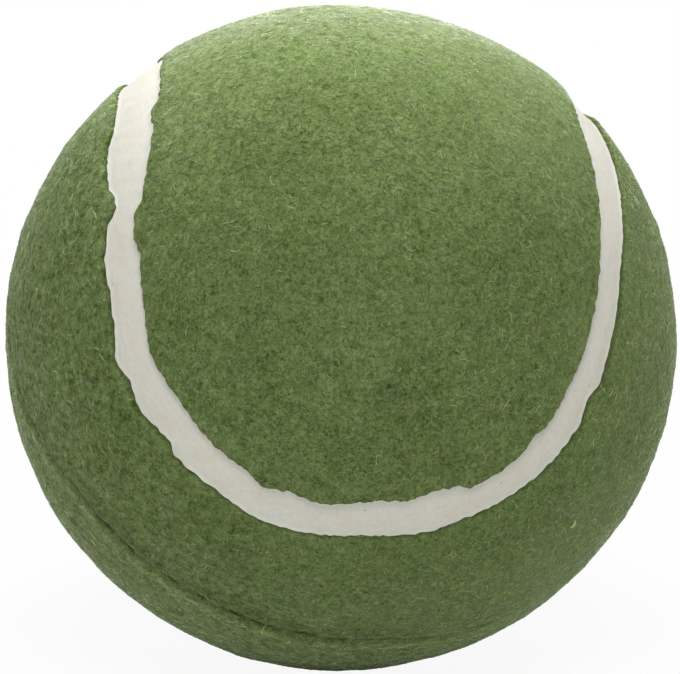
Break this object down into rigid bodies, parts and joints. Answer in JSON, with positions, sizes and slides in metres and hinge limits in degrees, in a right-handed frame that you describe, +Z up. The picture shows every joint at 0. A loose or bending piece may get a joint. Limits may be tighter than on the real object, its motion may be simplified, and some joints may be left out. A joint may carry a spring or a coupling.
{
  "type": "tennis ball",
  "caption": "Felt-covered tennis ball with interlocking cloth panels, a white rubber seam and a hollow glued rubber core.",
  "frame": {"origin": "centre of the ball", "axes": "+Z up as the ball lies in the picture, -Y towards the viewer, +X to the viewer's right"},
  "size_m": [0.067, 0.067, 0.067],
  "materials": {
    "green_felt": "short matted nap of wool and nylon, olive green",
    "seam_rubber": "matte off-white cured rubber",
    "panel_backing": "matte rubberised cloth back",
    "rubber_cement": "dull translucent amber cement",
    "core_rubber": "matte moulded rubber"
  },
  "bodies": {
    "root": {"front_core_cup": "core_rubber", "rear_core_cup": "core_rubber", "core_joint_cement": "rubber_cement", "core_cement_coat": "rubber_cement", "upper_panel_backing": "panel_backing", "lower_panel_backing": "panel_backing", "upper_felt_panel": "green_felt", "lower_felt_panel": "green_felt", "seam_strip": "seam_rubber"}
  },
  "joints": []
}
